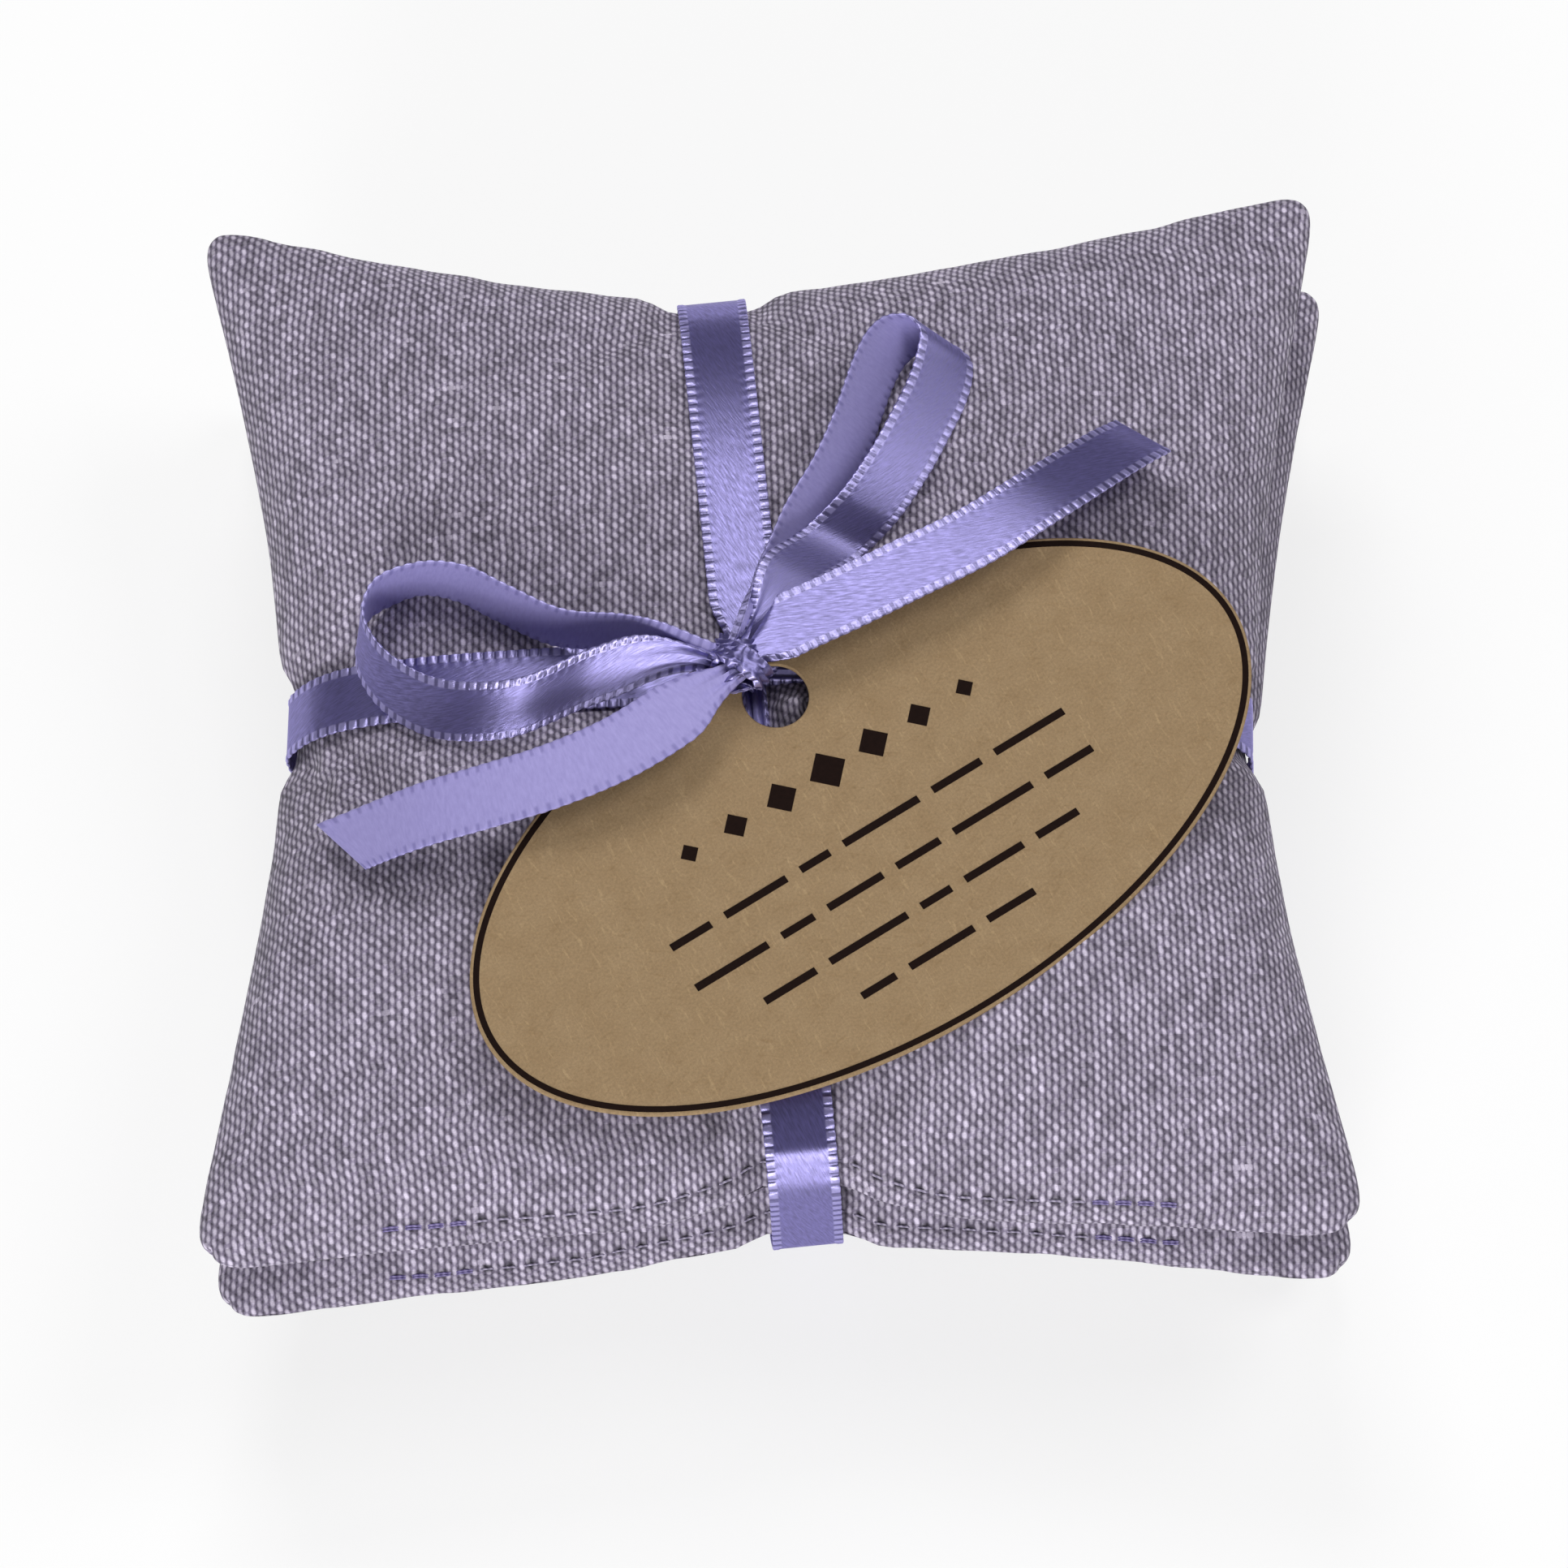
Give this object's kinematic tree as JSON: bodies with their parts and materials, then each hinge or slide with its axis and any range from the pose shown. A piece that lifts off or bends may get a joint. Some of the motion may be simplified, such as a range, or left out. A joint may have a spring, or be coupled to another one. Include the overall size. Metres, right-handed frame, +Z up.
{
  "type": "lavender sachet bundle",
  "caption": "Stack of square linen lavender sachets tied both ways with satin ribbon, with a bow on top and an oval kraft tag hung on the ribbon; scents drawers and linen.",
  "frame": {"origin": "on the surface the stack rests on, under the middle of the whole stack", "axes": "+Z up, the front of the stack, where the tag's free edge lies, towards -Y, and +X to the right"},
  "size_m": [0.1012, 0.1032, 0.0485],
  "materials": {
    "linen": "matt plain weave",
    "lavender": "loose dried buds",
    "thread": "spun polyester",
    "satin": "satin",
    "kraft": "uncoated"
  },
  "bodies": {
    "stack": {"bottom_upper_panel": "linen", "bottom_lower_panel": "linen", "bottom_lavender_filling": "lavender", "bottom_seam_thread": "thread", "bottom_closing_stitch": "thread", "middle_upper_panel": "linen", "middle_lower_panel": "linen", "middle_lavender_filling": "lavender", "middle_seam_thread": "thread", "middle_closing_stitch": "thread", "top_upper_panel": "linen", "top_lower_panel": "linen", "top_lavender_filling": "lavender", "top_seam_thread": "thread", "top_closing_stitch": "thread", "cross_band": "satin", "length_band": "satin", "half_knot": "satin", "bow_knot": "satin"},
    "tag_hang": {"tag_strand": "satin"},
    "tag": {"kraft_tag": "kraft"},
    "left_loop": {"left_loop": "satin"},
    "right_loop": {"right_loop": "satin"},
    "left_tail": {"left_tail": "satin"},
    "right_tail": {"right_tail": "satin"}
  },
  "joints": [
    {"name": "tag_swing", "type": "hinge", "parent": "stack", "child": "tag_hang", "pos_m": [-0.00202, -0.00165, 0.04315], "axis": [0.076, -0.1198, 0.9899], "range_deg": [-8, 4]},
    {"name": "tag_lift", "type": "hinge", "parent": "tag_hang", "child": "tag", "pos_m": [-0.00202, -0.00165, 0.04315], "axis": [-0.8443, -0.5358, 0], "range_deg": [0, 12]},
    {"name": "left_loop_lift", "type": "hinge", "parent": "stack", "child": "left_loop", "pos_m": [-0.00313, -0.00245, 0.0465], "axis": [0.1864, 0.9825, 0], "range_deg": [0, 40]},
    {"name": "right_loop_turn", "type": "hinge", "parent": "stack", "child": "right_loop", "pos_m": [-0.00313, -0.00245, 0.0465], "axis": [0, 0, 1], "range_deg": [0, 25]},
    {"name": "left_tail_lift", "type": "hinge", "parent": "stack", "child": "left_tail", "pos_m": [-0.00313, -0.00245, 0.0465], "axis": [-0.4436, 0.8962, 0], "range_deg": [0, 45]},
    {"name": "right_tail_lift", "type": "hinge", "parent": "stack", "child": "right_tail", "pos_m": [-0.00313, -0.00245, 0.0465], "axis": [0.526, -0.8505, 0], "range_deg": [0, 45]}
  ]
}
